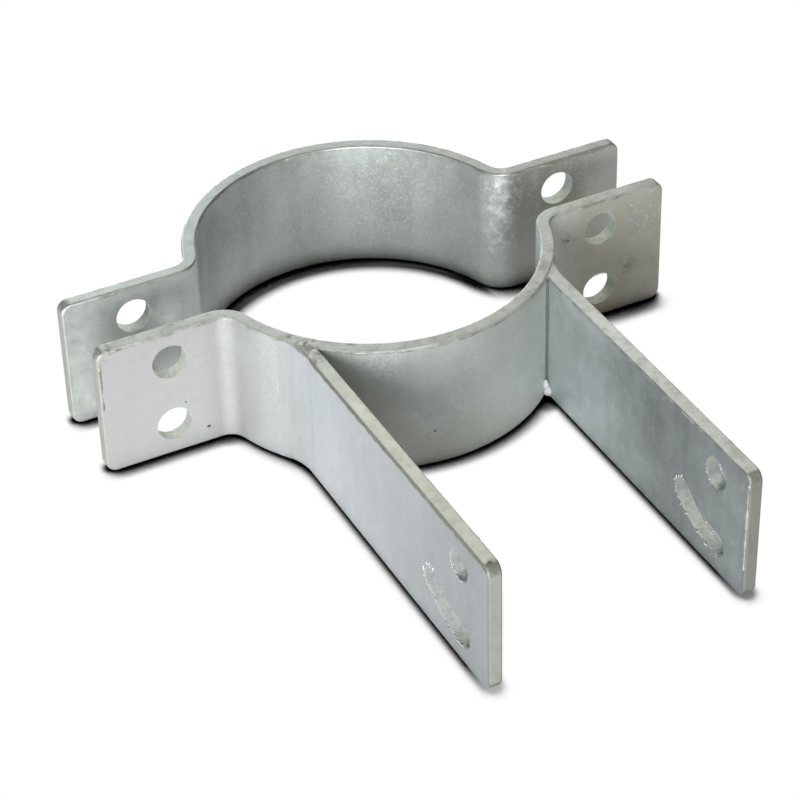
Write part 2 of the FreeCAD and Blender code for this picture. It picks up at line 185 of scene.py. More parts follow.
def galvanised_steel(name, seed, dull, bright, polish, top, edge, clouding=(0.0, 1.0), painted_light_shift=None,
                     painted_tints=(), spangle=(0.22, 0.0), cut_end=None, root_tone=None, stains_and_highlights=(),
                     walls=None, wall_tones=None):
    """Hot-dip galvanised mild steel: satin grey zinc in soft clouds, with drain streaks and crystals.

    The bar's upper edge is mottled, with a broken darker line just below the corner.
    polish: lowest and highest roughness. top: colour of the upper edge, partly painted light and shade, and
    its mottling.
    edge: the dull line's colour, share, width in mm, and the noise levels of its gaps.
    clouding: least and most of the bright tone. painted_light_shift: axis, start and end in mm, and change
    of tone, painted light and shade.
    painted_tints: axis, start and end in mm, colour and share of a tint of painted shade and reflection.
    spangle: shares of the pale and the dark crystals.
    cut_end: axis, place in mm, two colours, and share of the dark rim of painted shade. root_tone: upper
    edge at the ring.
    stains_and_highlights: single stains and painted highlights. walls: function for the mask of the
    openings. wall_tones: their two colours.
    """
    material, tree, output = new_material(name)
    place = add_node(tree, "ShaderNodeTexCoord", give="Object")
    axes = add_node(tree, SPLIT, [place], give=None).outputs
    # Each pattern's place, size in mm, offset of the seed, detail and roughness; streaks are 70 mm long
    drained = add_node(tree, "ShaderNodeMapping", {"Vector": place, "Scale": (1, 1, 5 / 70)})
    patterns = []
    for where, size, offset, detail, rough in ((place, 26, 0, 3.0, 0.5), (drained, 5, 7, 2.0, 0.5),
                                               (place, 4, 0, 4.0, 0.62), (place, 0.9, 0, 2.0, 0.6),
                                               (place, 9, 3, 3.0, 0.5), (place, 1.6, 5, 3.0, 0.7)):
        patterns.append(add_node(tree, NOISE, [where, seed + offset, 1 / (size * MM), detail, rough],
                                 noise_dimensions="4D"))
    clouds, streaks, mottle, grain, breaks, speckle = patterns
    drift = add_node(tree, MATH, [streaks, 0.35, clouds], operation="MULTIPLY_ADD")
    drift = add_node(tree, MATH, [mottle, 0.4, drift], operation="MULTIPLY_ADD")
    tone = add_node(tree, RANGE, [drift, 0.62, 1.13, *clouding])
    if painted_light_shift:
        # Painted light and shade: one stretch of the plate is made brighter or darker, as the light falls
        # on it
        axis, start, end, low, high = painted_light_shift
        stretch = add_node(tree, RANGE, [axes[axis], start * MM, end * MM, low, high])
        tone = add_node(tree, MATH, [tone, stretch], operation="ADD", use_clamp=True)
    colour = add_node(tree, MIX, {FACTOR: tone, FIRST: linear(dull), SECOND: linear(bright)}, **COLOURS)
    pale_share, dark_share = spangle
    pale = add_node(tree, RANGE, [grain, 0.56, 0.74, 0.0, pale_share])
    colour = add_node(tree, MIX, {FACTOR: pale, FIRST: colour, SECOND: linear(PALE_CRYSTAL)}, **COLOURS)
    dark = add_node(tree, RANGE, [grain, 0.45, 0.3, 0.0, dark_share])
    colour = add_node(tree, MIX, {FACTOR: dark, FIRST: colour, SECOND: linear(DARK_CRYSTAL)}, **COLOURS)
    for axis, start, end, shade, share in painted_tints:
        # Painted shade and tinted reflection over one stretch of the plate, thinner in the clouds
        stretch = add_node(tree, RANGE, [axes[axis], start * MM, end * MM, 0.0, share], **SMOOTH)
        thin = add_node(tree, RANGE, [clouds, 0.45, 0.68, 1.0, 0.5])
        cover = add_node(tree, MATH, [stretch, thin], operation="MULTIPLY")
        colour = add_node(tree, MIX, {FACTOR: cover, FIRST: colour, SECOND: linear(shade)}, **COLOURS)
    if cut_end:
        # The bar's end is darker; over its rounded edge this coat and a dark rim are painted shade that
        # dims the highlight
        axis, edge_at, low_tone, high_tone, rim_shade_share = cut_end
        out = add_node(tree, MATH, [axes[axis]], operation="ABSOLUTE")
        ends = add_node(tree, RANGE, [out, (edge_at - 1.3) * MM, (edge_at - 0.5) * MM, 0.0, 0.85])
        coat = add_node(tree, MIX, {
            FACTOR: mottle, FIRST: linear(low_tone), SECOND: linear(high_tone)}, **COLOURS)
        colour = add_node(tree, MIX, {FACTOR: ends, FIRST: colour, SECOND: coat}, **COLOURS)
        inside_end = add_node(tree, RANGE, [
            out, (edge_at - 0.08) * MM, (edge_at - 0.02) * MM, rim_shade_share, 0.0])
        rim = add_node(tree, RANGE, [out, (edge_at - 0.9) * MM, (edge_at - 0.5) * MM])
        rim = add_node(tree, MATH, [rim, inside_end], operation="MULTIPLY")
        colour = add_node(tree, MIX, {FACTOR: rim, FIRST: colour, SECOND: linear(EDGE_SHADE_PAINT)}, **COLOURS)
    # The upper edge's tone is set plate by plate to how bright it renders: partly painted light and shade,
    # with mottled patches
    top_tone, top_mottle = top
    upper = add_node(tree, RANGE, [axes["Z"], (BAR_HEIGHT - 0.5) * MM, (BAR_HEIGHT - 0.2) * MM])
    topping = add_node(tree, MIX, {FACTOR: TOP_SHARE, FIRST: colour, SECOND: linear(top_tone)}, **COLOURS)
    if root_tone:
        # Towards the ring the arm's upper edge takes the ring's tone
        root = add_node(tree, RANGE, [axes["Y"], *(along * MM for along in ROOT_BLEND)])
        topping = add_node(tree, MIX, {FACTOR: root, FIRST: topping, SECOND: linear(root_tone)}, **COLOURS)
    patches = add_node(tree, RANGE, [mottle, 0.47, 0.66, 0.0, top_mottle])
    topping = add_node(tree, MIX, {FACTOR: patches, FIRST: topping, SECOND: linear(TOP_PATCH)}, **COLOURS)
    colour = add_node(tree, MIX, {FACTOR: upper, FIRST: colour, SECOND: topping}, **COLOURS)
    for point, radius, shade, share, fine in stains_and_highlights:
        # Stains, ash, frost and painted highlights on single spots
        spot = [value * MM for value in point]
        gap = add_node(tree, VECTOR, [place, spot], give="Value", operation="DISTANCE")
        near = add_node(tree, RANGE, [gap, radius * MM, radius * 0.35 * MM, 0.0, share], **SMOOTH)
        patches = add_node(tree, RANGE, [grain if fine else mottle, 0.48, 0.64])
        cover = add_node(tree, MATH, [near, patches], operation="MULTIPLY")
        colour = add_node(tree, MIX, {FACTOR: cover, FIRST: colour, SECOND: linear(shade)}, **COLOURS)
    # The dull line along the upper corner has a wavy lower side and gaps
    line_tone, line_share, line_width, gap_low, gap_high = edge
    wavy = add_node(tree, MATH, [mottle, 3.0 * MM, axes["Z"]], operation="MULTIPLY_ADD")
    wave_top = (BAR_HEIGHT + 1.5) * MM
    lower = add_node(tree, RANGE, [wavy, wave_top - line_width * MM, wave_top - (line_width - 0.6) * MM])
    below_top = add_node(tree, RANGE, [
        axes["Z"], (BAR_HEIGHT - 0.35) * MM, (BAR_HEIGHT - 0.1) * MM, 1.0, 0.0])
    gaps = add_node(tree, RANGE, [breaks, gap_low, gap_high, 0.0, line_share])
    line = add_node(tree, MATH, [lower, below_top], operation="MULTIPLY")
    line = add_node(tree, MATH, [line, gaps], operation="MULTIPLY")
    colour = add_node(tree, MIX, {FACTOR: line, FIRST: colour, SECOND: linear(line_tone)}, **COLOURS)
    rough = add_node(tree, RANGE, [mottle, 0.3, 0.7, *polish])
    if walls:
        # Thick zinc in the openings, rough and speckled: painted paler on walls turned from the window,
        # darker facing it
        facing = add_node(tree, "ShaderNodeTexCoord", give="Normal")
        lean = add_node(tree, SPLIT, [facing], give=None).outputs
        low = add_node(tree, RANGE, [lean["Z"], 0.5, 1.05])
        at_end = add_node(tree, RANGE, [lean["Y"], 0.1, 0.6])
        painted_light_side = add_node(tree, MATH, [low, at_end], operation="MAXIMUM")
        wall = add_node(tree, MIX, {
            FACTOR: painted_light_side, FIRST: linear(wall_tones[0]), SECOND: linear(wall_tones[1])}, **COLOURS)
        flecks = add_node(tree, RANGE, [speckle, 0.47, 0.6, 0.0, 0.24])
        wall = add_node(tree, MIX, {FACTOR: flecks, FIRST: wall, SECOND: linear(WALL_FLECK)}, **COLOURS)
        inside = walls(tree, place)
        colour = add_node(tree, MIX, {FACTOR: inside, FIRST: colour, SECOND: wall}, **COLOURS)
        rough = add_node(tree, RANGE, [inside, 0.0, 1.0, rough, WALL_ROUGHNESS])
    relief = None
    for height, depth in ((clouds, 0.3), (mottle, 0.07), (grain, 0.016)):
        bump = {"Height": height, "Distance": depth * MM, "Strength": 1.0}
        if relief:
            bump["Normal"] = relief
        relief = add_node(tree, "ShaderNodeBump", bump)
    zinc = add_node(tree, "ShaderNodeBsdfPrincipled", {
        "Base Color": colour, "Metallic": 1.0, "Roughness": rough, "Normal": relief})
    tree.links.new(zinc, output.inputs["Surface"])
    return material


def thick_zinc(name, base, glint, polish):
    """Thick zinc set in drops and runs: 1.5 mm crystals, duller and brighter by turns along the edge."""
    material, tree, output = new_material(name)
    place = add_node(tree, "ShaderNodeTexCoord", give="Object")
    crystals = add_node(tree, NOISE, [place, 2.0, 1 / (1.5 * MM), 3.0, 0.6], noise_dimensions="4D")
    turns = add_node(tree, NOISE, [place, 4.0, 1 / (14 * MM), 3.0, 0.5], noise_dimensions="4D")
    both = add_node(tree, MATH, [turns, 1.2, crystals], operation="MULTIPLY_ADD")
    tone = add_node(tree, RANGE, [both, 0.9, 1.35])
    colour = add_node(tree, MIX, {FACTOR: tone, FIRST: linear(base), SECOND: linear(glint)}, **COLOURS)
    rough = add_node(tree, RANGE, [crystals, 0.35, 0.65, *polish])
    relief = add_node(tree, "ShaderNodeBump", {"Height": crystals, "Distance": 0.05 * MM, "Strength": 1.0})
    zinc = add_node(tree, "ShaderNodeBsdfPrincipled", {
        "Base Color": colour, "Metallic": 1.0, "Roughness": rough, "Normal": relief})
    tree.links.new(zinc, output.inputs["Surface"])
    return material


def zinc_dross():
    """Dross: grains of iron and zinc ash caught in the coating, dark grey and dull; also painted shade in
    the arms' inside corners.
    """
    material, tree, output = new_material("galvanising_dross")
    place = add_node(tree, "ShaderNodeTexCoord", give="Object")
    grit = add_node(tree, NOISE, [place, 0.0, 1 / (0.5 * MM), 3.0, 0.5], noise_dimensions="4D")
    colour = add_node(tree, MIX, {
        FACTOR: grit, FIRST: linear("#2E322F"), SECOND: linear("#626763")}, **COLOURS)
    ash = add_node(tree, "ShaderNodeBsdfPrincipled", {
        "Base Color": colour, "Metallic": 0.3, "Roughness": 0.85})
    tree.links.new(ash, output.inputs["Surface"])
    return material


# Stains, ash, frost and painted highlights: place in mm, reach in mm, colour, share, fine or coarse
FRONT_MARKS = [
    ((94.9, BOLT_FACE, 18.7), 6, "#5C584C", 0.4, False), ((99, BOLT_FACE, 39), 19, "#B0B8BA", 0.7, False),
    ((70.7, BOLT_FACE, 37), 4, "#5E5A4E", 0.5, False), ((88, BOLT_FACE, 47), 13, "#ACB5B8", 0.7, False),
    ((-109, -12, 49), 6, "#55584F", 0.9, False), ((-45.5, -38.5, 50), 7, "#5A5A50", 0.9, False),
    ((-48, -42, 50), 9, "#C9CBC2", 0.6, True), ((-28, -57, 48), 13, "#CDD2CE", 0.35, True),
    ((46, -40, 50), 8, "#C9CBC2", 0.5, True),
    ((44.5, -37.5, 50), 6, "#5A5A50", 0.6, True), ((-33, -48, 50), 3, "#5A5A50", 0.7, False)]
# Rear half: the pale patches at the right bend and on the ring's inner face are painted highlights
REAR_FROST_AND_HIGHLIGHTS = [
    ((61, 19, 44), 11, "#E6EAE8", 0.6, False), ((60, 19, 33), 9, "#E6EAE8", 0.5, False),
    ((60, 19, 22), 9, "#E6EAE8", 0.5, False), ((61, 19, 38), 12, "#E6EAE8", 0.3, True),
    ((31, 57.5, 30), 30, "#D5DAD9", 0.2, True), ((85, 17.4, 46), 26, "#C4C8C2", 0.2, True)]
ARM_MARKS = [
    ((-48, -50, 50), 7, "#5A5A50", 0.7, False), ((-46.5, -171, 49), 3.5, "#4E524C", 0.95, False),
    ((46.5, -172, 49), 3, "#5A5C56", 0.8, False)]

# Finishes that several plates share, in the order that galvanised_steel explains
# The upper edges' tones, RING_TOP among them, are partly painted light and shade
RING_TOP = "#B8BBB5"
RING_EDGE = ("#77786F", 0.6, 1.5, 0.42, 0.58)
ARM_EDGE = ("#7C7E74", 0.9, 2.3, 0.28, 0.42)
HOLE_TONES = ("#C4C7C2", "#D0D3CE")
FLANGE_CUT = ("X", FLANGE_END, "#9A9C95", "#B0B2AB", 0.0)

# Front half tints: painted reflection and shade on the right flange, painted shade on the strap between the
# arms
front_zinc = galvanised_steel(
    "hot_dip_galvanised_steel_front_half", 1.0, "#ACB0AF", "#B8BCBB", polish=(0.7, 0.82),
    top=(RING_TOP, 0.35), edge=RING_EDGE, spangle=(0.32, 0.14), cut_end=FLANGE_CUT,
    painted_tints=[("X", 62, 82, "#A09D92", 0.85), ("Y", -42, -47, "#8E9080", 0.3),
           # These two are painted shade over the left bend's highlight and a painted cool cast on the left
           # flange
           ("X", -56, -61, "#A8A6A6", 0.6), ("X", -67, -75, "#B1B2B1", 0.9)],
    stains_and_highlights=FRONT_MARKS, walls=bolt_hole_walls, wall_tones=HOLE_TONES)
# Rear half: the left flange is painted brighter, the right side darker and warmer: painted light, shade and
# reflection
rear_zinc = galvanised_steel(
    "hot_dip_galvanised_steel_rear_half", 12.0, "#A0A5A2", "#BEC3C0", polish=(0.5, 0.64),
    top=("#8E918C", 0.25), edge=RING_EDGE, spangle=(0.42, 0.14), cut_end=FLANGE_CUT,
    painted_light_shift=("X", -58, -72, -0.15, 0.6), painted_tints=[("X", 58, 72, "#888371", 0.4)],
    stains_and_highlights=REAR_FROST_AND_HIGHLIGHTS, walls=bolt_hole_walls, wall_tones=HOLE_TONES)
# Left arm: painted shade darkens it towards its far end
left_arm_zinc = galvanised_steel(
    "hot_dip_galvanised_steel_left_arm", 23.0, "#9B9FA0", "#BFC3C5", polish=(0.64, 0.78),
    top=("#CBCDC1", 0.15), edge=ARM_EDGE, clouding=(0.38, 0.62), painted_light_shift=("Y", -160, -55, -0.45, 0.55),
    cut_end=("Y", -ARM_END, "#8E9088", "#A8AAA2", 0.5), root_tone=RING_TOP,
    stains_and_highlights=ARM_MARKS, walls=mirror_opening_walls, wall_tones=("#B2B4B1", "#D2D3CF"))
# Right arm: its darker dull tone and the darkening towards its far end are painted shade
right_arm_zinc = galvanised_steel(
    "hot_dip_galvanised_steel_right_arm", 29.0, "#717675", "#BAC1C2", polish=(0.62, 0.76),
    top=("#CFD1CB", 0.3), edge=RING_EDGE, clouding=(0.3, 0.7), painted_light_shift=("Y", -115, -55, -0.25, 0.55),
    cut_end=("Y", -ARM_END, "#767771", "#8F9086", 0.3), root_tone=RING_TOP,
    stains_and_highlights=ARM_MARKS, walls=mirror_opening_walls, wall_tones=("#A4A6A1", "#D4D6D0"))
# Weld: painted lighter towards the arm than towards the strap
weld_zinc = galvanised_steel(
    "galvanised_weld_metal", 34.0, "#A9ACAB", "#BBBEC0", polish=(0.7, 0.82),
    top=(RING_TOP, 0.5), edge=RING_EDGE, clouding=(0.1, 0.7), painted_light_shift=("Y", -38, -47, -0.1, 0.5))
drop_zinc = thick_zinc("zinc_drops", "#969B97", "#CBCECA", (0.66, 0.54))
run_zinc = thick_zinc("zinc_edge_runs", "#868A85", "#B8BBB6", (0.7, 0.6))
end_zinc = thick_zinc("zinc_right_arm_end", "#8B908B", "#BEC1BC", (0.68, 0.56))
edge_zinc = thick_zinc("zinc_left_arm_edges", "#74766D", "#9A9C93", (0.74, 0.66))
# The same dark finish lays the painted shade strip in the arms' inside corners
dross = zinc_dross()

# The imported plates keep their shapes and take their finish
PLATE_FINISH = {
    "front_clamp_half": front_zinc, "rear_clamp_half": rear_zinc,
    "left_arm": left_arm_zinc, "right_arm": right_arm_zinc,
    "left_weld_bead": weld_zinc, "right_weld_bead": weld_zinc}
for name, finish in PLATE_FINISH.items():
    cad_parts[name].material_slots[0].material = finish


# Paths along the bracket's edges
def arc(centre, radius, start, end, count):
    """Points along a circular arc, from one angle to another in degrees."""
    turns = [math.radians(start + (end - start) * step / (count - 1)) for step in range(count)]
    return [(centre[0] + radius * math.cos(turn), centre[1] + radius * math.sin(turn)) for turn in turns]


def strap_line(inset):
    """Line along the front half seen from above, this far inside its outer face, from left to right."""
    lean = math.degrees(math.atan2(BEND_CENTRE[1], BEND_CENTRE[0]))
    right_side = arc((0, 0), STRAP_RADIUS - inset, -90, lean, 60)
    right_side += arc(BEND_CENTRE, BEND_RADIUS + inset, 180 + lean, 90, 16)[1:]
    right_side += [(FLANGE_END - 2.0, BOLT_FACE + inset)]
    left_side = [(-x, y) for x, y in reversed(right_side)]
    return left_side[:-1] + right_side


def path_mesh(name, lines):
    """A mesh of bare edges, one chain for each line of points in millimetres."""
    points = []
    edges = []
    for line in lines:
        first = len(points)
        points += [tuple(value * MM for value in point) for point in line]
        edges += [(spot, spot + 1) for spot in range(first, len(points) - 1)]
    mesh = bpy.data.meshes.new(name)
    mesh.from_pydata(points, edges, [])
    return mesh


# Node trees for the zinc that follows the edges
def new_tree(name, inputs):
    """Make a geometry tree with named inputs, and return it with its input node's sockets."""
    tree = bpy.data.node_groups.new(name, "GeometryNodeTree")
    for label, kind in inputs:
        tree.interface.new_socket(label, in_out="INPUT", socket_type=f"NodeSocket{kind}")
    tree.interface.new_socket("Zinc", in_out="OUTPUT", socket_type="NodeSocketGeometry")
    return tree, add_node(tree, "NodeGroupInput", give=None).outputs


def finish_tree(tree, geometry, material):
    """End a tree: smooth, realised and with its material set."""
    smooth = add_node(tree, "GeometryNodeSetShadeSmooth", {"Geometry": geometry})
    whole = add_node(tree, "GeometryNodeRealizeInstances", {"Geometry": smooth})
    coated = add_node(tree, "GeometryNodeSetMaterial", {"Geometry": whole, "Material": material})
    add_node(tree, "NodeGroupOutput", [coated], give=None)


def edge_run_tree():
    """Tree that draws an uneven run of zinc along a path: it swells, thins and wanders."""
    tree, given = new_tree("zinc_edge_run", [
        ("Path", "Geometry"), ("Step", "Float"), ("Thin", "Float"), ("Thick", "Float"),
        ("Lump length", "Float"), ("Wander", "Float"), ("Seed", "Float"), ("Finish", "Material")])
    curve = add_node(tree, "GeometryNodeMeshToCurve", {"Mesh": given["Path"]})
    fine = add_node(tree, "GeometryNodeResampleCurve", {
        "Curve": curve, "Length": given["Step"]}, mode="LENGTH")
    scale = add_node(tree, MATH, [1.0, given["Lump length"]], operation="DIVIDE")
    lumps = add_node(tree, NOISE, {
        "W": given["Seed"], "Scale": scale, "Detail": 3.0, "Roughness": 0.6},
        give=None, noise_dimensions="4D").outputs
    centred = add_node(tree, VECTOR, [lumps["Color"], (0.5, 0.5, 0.5)], operation="SUBTRACT")
    drift = add_node(tree, VECTOR, {0: centred, "Scale": given["Wander"]}, operation="SCALE")
    laid = add_node(tree, "GeometryNodeSetPosition", {"Geometry": fine, "Offset": drift})
    size = add_node(tree, RANGE, [lumps["Fac"], 0.35, 0.68, given["Thin"], given["Thick"]])
    section = add_node(tree, "GeometryNodeCurvePrimitiveCircle", {
        "Resolution": 8, "Radius": 1.0}, give="Curve")
    bead = add_node(tree, "GeometryNodeCurveToMesh", {
        "Curve": laid, "Profile Curve": section, "Scale": size, "Fill Caps": True})
    finish_tree(tree, bead, given["Finish"])
    return tree


def drop_tree():
    """Tree that leaves drops of zinc along a path: squashed balls of mixed sizes, sunk into the edge."""
    tree, given = new_tree("zinc_drops", [
        ("Path", "Geometry"), ("Spacing", "Float"), ("Share kept", "Float"),
        ("Smallest", "Float"), ("Largest", "Float"), ("Scatter", "Vector"), ("Shape", "Vector"),
        ("Seed", "Int"), ("Finish", "Material")])
    curve = add_node(tree, "GeometryNodeMeshToCurve", {"Mesh": given["Path"]})
    spots = add_node(tree, "GeometryNodeCurveToPoints", {
        "Curve": curve, "Length": given["Spacing"]}, give="Points", mode="LENGTH")
    other_way = add_node(tree, VECTOR, {0: given["Scatter"], "Scale": -1.0}, operation="SCALE")
    offset = add_node(tree, "FunctionNodeRandomValue", {
        0: other_way, 1: given["Scatter"], "Seed": given["Seed"]}, data_type="FLOAT_VECTOR")
    spread = add_node(tree, "GeometryNodeSetPosition", {"Geometry": spots, "Offset": offset})
    kept = add_node(tree, "FunctionNodeRandomValue", {
        "Probability": given["Share kept"], "Seed": given["Seed"]}, give=3, data_type="BOOLEAN")
    later = add_node(tree, MATH, [given["Seed"], 100.0], operation="ADD")
    size = add_node(tree, "FunctionNodeRandomValue", {
        2: given["Smallest"], 3: given["Largest"], "Seed": later}, give=1, data_type="FLOAT")
    scale = add_node(tree, VECTOR, {0: given["Shape"], "Scale": size}, operation="SCALE")
    ball = add_node(tree, "GeometryNodeMeshUVSphere", {
        "Segments": 8, "Rings": 5, "Radius": 1.0}, give="Mesh")
    drops = add_node(tree, "GeometryNodeInstanceOnPoints", {
        "Points": spread, "Selection": kept, "Instance": ball, "Scale": scale})
    finish_tree(tree, drops, given["Finish"])
    return tree


def grow(name, path, tree, **values):
    """Run a tree on a path and keep the result as a plain mesh that rides on the bracket."""
    holder = bpy.data.objects.new(name, path)
    scene.collection.objects.link(holder)
    growth = holder.modifiers.new("growth", "NODES")
    growth.node_group = tree
    for socket in tree.interface.items_tree:
        key = socket.name.lower().replace(" ", "_")
        if socket.in_out == "INPUT" and key in values:
            growth[socket.identifier] = values[key]
    graph = bpy.context.evaluated_depsgraph_get()
    mesh = bpy.data.meshes.new_from_object(holder.evaluated_get(graph))
    holder.modifiers.remove(growth)
    holder.data = mesh
    mesh.name = name
    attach(holder, "root")


def place_mesh(name, work, material, node=None):
    """Turn a built shape into a smooth piece that rides on the bracket, in place of a node if named."""
    bmesh.ops.recalc_face_normals(work, faces=work.faces)
    mesh = bpy.data.meshes.new(name)
    work.to_mesh(mesh)
    work.free()
    mesh.shade_smooth()
    mesh.set_sharp_from_angle(angle=math.radians(55))
    mesh.materials.append(material)
    piece = bpy.data.objects.new(name, mesh)
    scene.collection.objects.link(piece)
    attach(piece, "root")
    if node:
        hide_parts(node)


RUNS = edge_run_tree()
DROPS = drop_tree()

# Zinc runs along the edges: how far they sit inside the faces and below the top, in mm, and their sizes
RUN_INSET = 0.5
ARM_RUN_INSET = 0.45
RUN_DEPTH = 0.98
RUN_STEP = 0.7 * MM
RUN_SIZES = {"step": RUN_STEP, "thin": 0.3 * MM, "thick": 0.78 * MM, "wander": 0.35 * MM}
run_top = BAR_HEIGHT - RUN_DEPTH
front_edges = [[(x, y, run_top) for x, y in strap_line(inset)]
               for inset in (RUN_INSET, BAR_THICKNESS - RUN_INSET)]
front_edges.append([(-FLANGE_END + 1.0, BOLT_FACE + RUN_INSET, rise) for rise in (6, 30, 46)])
grow("front_half_zinc_runs", path_mesh("front_half_edges", front_edges), RUNS,
     lump_length=5 * MM, seed=3.0, finish=run_zinc, **RUN_SIZES)
rear_edge = [(-x, REAR_SETBACK - y, run_top) for x, y in strap_line(BAR_THICKNESS - RUN_INSET)]
grow("rear_half_zinc_runs", path_mesh("rear_half_edges", [rear_edge]), RUNS,
     lump_length=5 * MM, seed=8.0, finish=run_zinc, **RUN_SIZES)

# Rims that hold drops: the slot's end at the ring, its lower side and the pivot hole's lower side
END_OUTSET = 0.3
RIM_OUTSET = 0.2
slot_end_rim = arc(
    on_slot(SLOT_RING_ANGLE), SLOT_WIDTH / 2 + END_OUTSET, SLOT_RING_ANGLE - 90, SLOT_RING_ANGLE + 60, 20)
slot_low_rim = arc(
    PIVOT, SLOT_RADIUS + SLOT_WIDTH / 2 + RIM_OUTSET, -SLOT_END_ANGLE - 90, SLOT_RING_ANGLE - 90, 24)
pivot_low_rim = arc(PIVOT, PIVOT_HOLE / 2 + RIM_OUTSET, -120, 20, 20)
for side, sign, seed, edge_finish in (("left", -1, 13, edge_zinc), ("right", 1, 21, run_zinc)):
    arm_edges = [[(sign * across, ARM_ROOT - 1, run_top), (sign * across, ARM_END + 5, run_top)]
                 for across in (ARM_INNER + ARM_RUN_INSET, ARM_OUTER - ARM_RUN_INSET)]
    grow(f"{side}_arm_zinc_runs", path_mesh(f"{side}_arm_edges", arm_edges), RUNS,
         lump_length=4 * MM, seed=float(seed), finish=edge_finish, **RUN_SIZES)
    end_rims = []
    low_rims = []
    for across in (ARM_INNER, ARM_OUTER):
        end_rims.append([(sign * across, along, rise) for along, rise in slot_end_rim])
        for line in (slot_low_rim, pivot_low_rim):
            low_rims.append([(sign * across, along, rise) for along, rise in line])
    grow(f"{side}_slot_end_drops", path_mesh(f"{side}_slot_end", end_rims), DROPS,
         spacing=0.7 * MM, share_kept=0.65, smallest=0.25 * MM, largest=0.6 * MM,
         scatter=(0.1 * MM, 0.9 * MM, 0.9 * MM), shape=(0.7, 0.8, 1.7), seed=seed, finish=drop_zinc)
    grow(f"{side}_rim_drops", path_mesh(f"{side}_rims", low_rims), DROPS,
         spacing=0.9 * MM, share_kept=0.35, smallest=0.2 * MM, largest=0.45 * MM,
         scatter=(0.1 * MM, 0.35 * MM, 0.35 * MM), shape=(0.8, 1.0, 1.2), seed=seed + 1, finish=drop_zinc)
    # A dark strip laid in the inside corner, above the tack weld, as painted shade of the crevice
    crevice_shade = [(sign * (ARM_INNER - 0.2), ARM_ROOT - 0.35, rise) for rise in (6, 25, 48.6)]
    grow(f"{side}_arm_seam", path_mesh(f"{side}_seam_line", [crevice_shade]), RUNS,
         step=RUN_STEP, thin=0.9 * MM, thick=1.3 * MM, lump_length=6 * MM, wander=0.2 * MM,
         seed=float(seed + 5), finish=dross)
end_run = [(ARM_INNER + 0.3, ARM_END + 0.85, rise) for rise in (12, 30, 46)]
grow("right_arm_end_run", path_mesh("right_arm_end_edge", [end_run]), RUNS,
     step=RUN_STEP, thin=0.35 * MM, thick=0.75 * MM, lump_length=5 * MM, wander=0.1 * MM,
     seed=40.0, finish=end_zinc)


# Welds
def weld_bead(name, sign, seed, node):
    """Model a weld bead: a hollow fillet with faint passes along it and rounded ends; sizes in mm."""
    hollow = 30.0
    sunk = 0.4
    bottom = 0.3
    top = BAR_HEIGHT - 0.1
    end_length = 1.3
    end_drop = 0.9
    hub = Vector((ARM_OUTER + hollow, -math.sqrt((STRAP_RADIUS + hollow) ** 2 - (ARM_OUTER + hollow) ** 2)))
    face = arc(hub, hollow, 180, 180 + math.degrees(math.atan2(hub.y, hub.x)), 25)
    toe = math.degrees(math.atan2(face[-1][1], face[-1][0]))
    seat = arc((0, 0), STRAP_RADIUS - sunk, toe, math.degrees(math.atan2(ARM_ROOT, ARM_INNER)), 8)
    tuck = [(ARM_INNER + 0.3, ARM_ROOT - sunk), (ARM_OUTER - sunk, ARM_ROOT - 1.5),
            (ARM_OUTER - sunk, face[0][1])]
    levels = [0.5, 0.7, 1.0, 1.4]
    levels += [2.0 + 0.75 * step for step in range(62)]
    levels += [48.6, 49.0, 49.4, 49.7]
    work = bmesh.new()
    rings = []
    for level in levels:
        end_gap = min(level - bottom, top - level)
        shrink = max(0.0, 1.0 - end_gap / end_length) ** 2 * end_drop
        ring = []
        for spot, (across, along) in enumerate(face):
            swell = math.sin(math.pi * spot / (len(face) - 1))
            passes = noise.noise(Vector((spot * 0.2, level * 0.03, seed)))
            ripple = noise.noise(Vector((spot * 0.25, level * 0.22, seed + 5)))
            out = swell * (0.12 * passes + 0.1 * ripple + 0.1) - shrink * (0.3 + 0.7 * swell)
            away = (hub - Vector((across, along))).normalized()
            ring.append((across + away.x * out, along + away.y * out))
        ring += seat + tuck
        rings.append([work.verts.new((sign * x * MM, y * MM, level * MM)) for x, y in ring])
    for lower, upper in zip(rings, rings[1:]):
        for spot in range(len(lower)):
            follow = (spot + 1) % len(lower)
            work.faces.new((lower[spot], lower[follow], upper[follow], upper[spot]))
    work.faces.new(rings[0])
    work.faces.new(rings[-1])
    place_mesh(name, work, weld_zinc, node)


def lump(work, centre, size, seed, rough):
    """Add a rough rounded lump to a shape being built."""
    made = bmesh.ops.create_icosphere(work, subdivisions=3, radius=1.0)["verts"]
    for vertex in made:
        swell = 1 + rough * noise.noise(vertex.co * 1.6 + Vector((seed, 0, 0)))
        vertex.co = Vector([(c + s * swell * v) * MM for c, s, v in zip(centre, size, vertex.co)])


# Lumps of a tack weld: place and size in mm, step of the seed, roughness
TACK_LUMPS = [((42.9, -48.2, 3.1), (1.6, 2.3, 2.4), 0, 0.25), ((42.4, -47.7, 5.2), (1.1, 1.5, 2.6), 3, 0.3)]


def tack_weld(name, sign, seed):
    """Model the small tack weld in the lower inside corner between an arm and the strap."""
    work = bmesh.new()
    for (across, along, rise), size, step, rough in TACK_LUMPS:
        lump(work, (sign * across, along, rise), size, seed + step, rough)
    place_mesh(name, work, weld_zinc)


weld_bead("left_weld", -1, 2.0, "left_weld_bead")
weld_bead("right_weld", 1, 9.0, "right_weld_bead")
tack_weld("left_tack_weld", -1, 4.0)
tack_weld("right_tack_weld", 1, 11.0)

